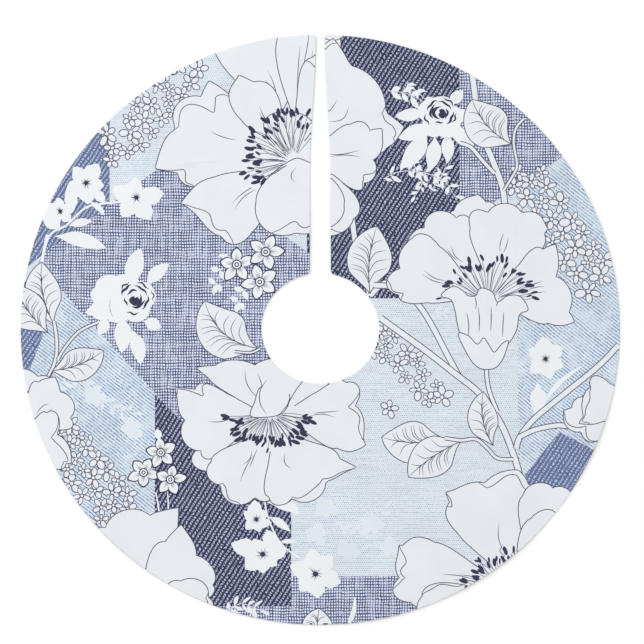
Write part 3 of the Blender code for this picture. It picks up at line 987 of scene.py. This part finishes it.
def dottedInk(name):
    # pale linen look: small grey-blue specks in rows
    look = {"pitch": 3.75, "ground": (224, 232, 240), "speck": (122, 140, 166)}
    f = printedFinish(name)
    sway = f.sway(0.04, 4.0)
    x, y = f.sum("ADD", f.x, sway), f.sum("ADD", f.y, f.times(sway, 0.5))
    rowCount = f.sum("ROUND", f.times(y, 1 / look["pitch"]))
    specks = f.wave(f.sum("MULTIPLY_ADD", rowCount, look["pitch"] * 0.5, x), look["pitch"])
    dots = f.times(f.ramp(specks, 0.35, 0.85), f.ramp(f.wave(y, look["pitch"]), 0.35, 0.85))
    rows = f.noise(f.join(f.times(x, 0.02), f.times(y, 1 / look["pitch"])), 0.8, 2, 0.6)
    uneven = f.ramp(f.noise(f.flat, 0.28, 3, 0.6), 0.35, 0.65, 0.15, 1.3)
    rowed = f.ramp(rows, 0.35, 0.68, 0.45, 1.2)
    mark = f.times(f.times(dots, uneven), rowed, clamp=True)
    streak = f.times(f.ramp(rows, 0.5, 0.74), 0.07)
    ground = f.mix(streak, tone(*look["ground"]), tone(*look["speck"]))
    inkToneAndWeaveShade(f, f.mix(mark, ground, tone(*look["speck"])), 0.04)
    return f.material


def wovenFinish(name, red, green, blue, yarn=0.7, slant=0.0):
    # undyed cotton for the backing, the tapes and the thread
    look = {"roughness": 0.88, "sheen": 0.1, "yarnDepth": 0.00008, "slubDepth": 0.00008}
    f = Finish(name, look["roughness"], look["sheen"])
    plan = f.plan(slant)
    x, y = f.parts(plan)
    weave = f.plainWeave(x, y, yarn)
    f.bump(weave, look["yarnDepth"], 1.0, f.bump(f.noise(plan, 0.5, 3, 0.6), look["slubDepth"]))
    slub = f.noise(f.join(f.times(x, 0.9), f.times(y, 0.03)), 1.0, 2, 0.6)
    # painted shade: the weave term darkens the hollows between the yarns; the slub and cloud terms are the
    # yarn's own random tone
    shade = f.times(f.ramp(slub, 0.3, 0.7, 0.95, 1.02), f.ramp(weave, 0.0, 0.9, 0.92, 1.0))
    cloud = f.ramp(f.noise(plan, 0.01, 3), 0.3, 0.7, 0.97, 1.02)
    f.colour(tone(red, green, blue), f.times(shade, cloud))
    return f.material


finishes = {
    "dotted": dottedInk("printPaleLinen"),
    "midDenim": twillInk("printMidTwill", 147, 7.4, 5.4, (96, 110, 150), (188, 199, 223), 1.25),
    "weave": weaveInk("printChambray"),
    "striped": stripeInk("printWornStripe"),
    "denim": twillInk("printDarkDenim", 148, 7.8, 5.4, (44, 49, 82), (188, 194, 218), 1.2),
    "petal": plainInk("printPetal", 231, 235, 240, 0.025),
    "faded": plainInk("printFadedWhite", 225, 233, 239, 0.04),
    "leafWhite": plainInk("printWhite", 237, 240, 243, 0.02),
    "line": plainInk("printFineLine", 80, 82, 102, 0.08),
    "solid": plainInk("printSolidInk", 54, 54, 84, 0.08),
    "backing": wovenFinish("backingCotton", 236, 234, 228),
    "tape": wovenFinish("twillTape", 226, 223, 214, 0.6, 45),
    "thread": wovenFinish("seamThread", 240, 238, 232, 0.3, 30),
}
print("finishes made")


drawPrint()
print("print drawn:", len(printShapes), "shapes")

face = {"profile": [(-1.2, 2.2), (-0.5, 2.05), (-0.1, 1.65), (0.0, 1.25), (-0.35, 0.95)], "inset": 2.0}
bm = planMesh(face["inset"], printShapes)
for v in bm.verts:
    v.co.z = skirt["faceTop"]
turnEdge(bm, face["profile"], face["inset"])
for v in bm.verts:
    v.co.z += lift(v.co.x, v.co.y)
faceCloth = threePieces(bm, "printed_cloth", finishes)
print("printed cloth cut and edged:", sum(len(o.data.polygons) for o in faceCloth.values()), "faces")

backing = {"profile": [(-1.2, 0.0), (-0.5, 0.12), (-0.15, 0.45), (-0.1, 0.75), (-0.35, 0.95)], "inset": 2.0}
bm = planMesh(backing["inset"], [])
turnEdge(bm, backing["profile"], backing["inset"])
for v in bm.verts:
    v.co.z += lift(v.co.x, v.co.y)
bmesh.ops.reverse_faces(bm, faces=bm.faces)
backingCloth = threePieces(bm, "backing", {"dotted": finishes["backing"]})
print("backing made")

# the stay tapes lie between the cloths and follow them
stay = {"longestEdge": 0.016, "rounds": 7}       # metres; short edges let a tape follow the cloth
tapes = {part: [] for part in parts}
for name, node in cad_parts.items():
    if "_tape_" not in name:
        continue
    bm = bmesh.new()
    bm.from_mesh(node.data)
    bmesh.ops.remove_doubles(bm, verts=bm.verts, dist=1e-6)
    for _ in range(stay["rounds"]):
        long = [e for e in bm.edges if e.calc_length() > stay["longestEdge"]]
        if not long:
            break
        bmesh.ops.subdivide_edges(bm, edges=long, cuts=1)
        bmesh.ops.triangulate(bm, faces=bm.faces)
    bmesh.ops.scale(bm, vec=(1 / mm, 1 / mm, 1 / mm), verts=bm.verts)
    for v in bm.verts:
        v.co.z += lift(v.co.x, v.co.y)
    part = name.split("_")[-1]
    tape = finishPiece(bm, name.replace("_tape_", "_stay_"))
    for polygon in tape.data.polygons:
        polygon.use_smooth = False
    tape.data.materials.append(finishes["tape"])
    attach(tape, "front_half" if part == "front" else part + "_quarter")
    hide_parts(name)
    tapes[part].append(tape)
print("stay tapes made")

# a row of understitching along the edges, seen from below
stitch = {"length": 2.4, "pitch": 3.0, "width": 0.42, "inset": 2.2, "depth": 0.10, "rise": 0.12}


def oneStitch():
    # a short thread with six sides, rounded at both ends
    bm = bmesh.new()
    bmesh.ops.create_uvsphere(bm, u_segments=6, v_segments=6, radius=1)
    for v in bm.verts:
        v.co.z = math.copysign(abs(v.co.z) ** 0.6, v.co.z)
    bm.verts.index_update()
    shape = [v.co.copy() for v in bm.verts], [[v.index for v in f.verts] for f in bm.faces]
    bm.free()
    return shape


def stitchRow(path, part):
    corners, sides = oneStitch()
    bm = bmesh.new()
    left = 0.0
    for a, b in zip(path, path[1:] + path[:1]):
        span = abs(b - a)
        turn = (b - a) / span
        while left < span:
            middle = a + turn * left
            left += stitch["pitch"]
            if partAt(middle.real, middle.imag) != part:
                continue
            laid = []
            for co in corners:
                flat = middle + complex(co.z * stitch["length"], co.x * stitch["width"]) / 2 * turn
                sink = stitch["depth"] * (1 - co.z ** 2)
                height = lift(flat.real, flat.imag) + stitch["rise"] - sink + co.y * stitch["width"] / 4
                laid.append(bm.verts.new((flat.real, flat.imag, height)))
            for side in sides:
                bm.faces.new([laid[i] for i in side])
        left -= span
    return bm


stitchPath = skirtOutline(stitch["inset"])
rows = {}
for part in parts:
    rows[part] = finishPiece(stitchRow(stitchPath, part), "understitch_" + part)
    rows[part].data.materials.append(finishes["thread"])
print("understitching made")

for part in parts:
    top, under = faceCloth[part], backingCloth[part]
    goWith(top, part)
    goWith(under, part)
    goWith(rows[part], part)
    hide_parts("face_cloth_" + part)
    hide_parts("backing_cloth_" + part)

# floor, light and camera
stage = {
    "floor": 30.0, "floorTone": 0.97, "floorRoughness": 0.9, "floorDrop": 0.0004,
    "sky": 0.70, "lampEnergy": 122.0, "lampSize": 5.0,
    "distance": 20.03, "elevation": 79.7, "lens": 600.0, "sensor": 36.0, "aim": (0.0032, 0.0125, 0.0),
}

bm = bmesh.new()
bmesh.ops.create_grid(bm, x_segments=1, y_segments=1, size=stage["floor"] / 2)
bmesh.ops.translate(bm, vec=(0, 0, -stage["floorDrop"]), verts=bm.verts)
mesh = bpy.data.meshes.new("floor")
bm.to_mesh(mesh)
bm.free()
floor = bpy.data.objects.new("floor", mesh)
bpy.context.collection.objects.link(floor)
paint = bpy.data.materials.new("floorPaint")
paint.use_nodes = True
paintShader = paint.node_tree.nodes["Principled BSDF"]
paintShader.inputs["Base Color"].default_value = (stage["floorTone"],) * 3 + (1,)
paintShader.inputs["Roughness"].default_value = stage["floorRoughness"]
mesh.materials.append(paint)

world = bpy.data.worlds.new("studio")
bpy.context.scene.world = world
world.use_nodes = True
world.node_tree.nodes["Background"].inputs["Color"].default_value = (1, 1, 1, 1)
world.node_tree.nodes["Background"].inputs["Strength"].default_value = stage["sky"]

for name, place, share in (("keyLamp", (-2.6, 2.2, 3.4), 1.0), ("fillLamp", (2.4, -2.0, 4.0), 0.35)):
    light = bpy.data.lights.new(name, "AREA")
    light.energy = stage["lampEnergy"] * share
    light.size = stage["lampSize"]
    lamp = bpy.data.objects.new(name, light)
    lamp.location = place
    lamp.rotation_euler = (-Vector(place)).to_track_quat("-Z", "Y").to_euler()
    bpy.context.collection.objects.link(lamp)

camera = bpy.data.objects.new("camera", bpy.data.cameras.new("camera"))
camera.data.sensor_width = stage["sensor"]
camera.data.lens = stage["lens"]
aim = Vector(stage["aim"])
rise = math.radians(stage["elevation"])
camera.location = aim + Vector((0, -math.cos(rise), math.sin(rise))) * stage["distance"]
camera.rotation_euler = (aim - camera.location).to_track_quat("-Z", "Y").to_euler()
bpy.context.collection.objects.link(camera)
bpy.context.scene.camera = camera
bpy.context.scene.view_settings.view_transform = "Standard"
print("floor, light and camera set")
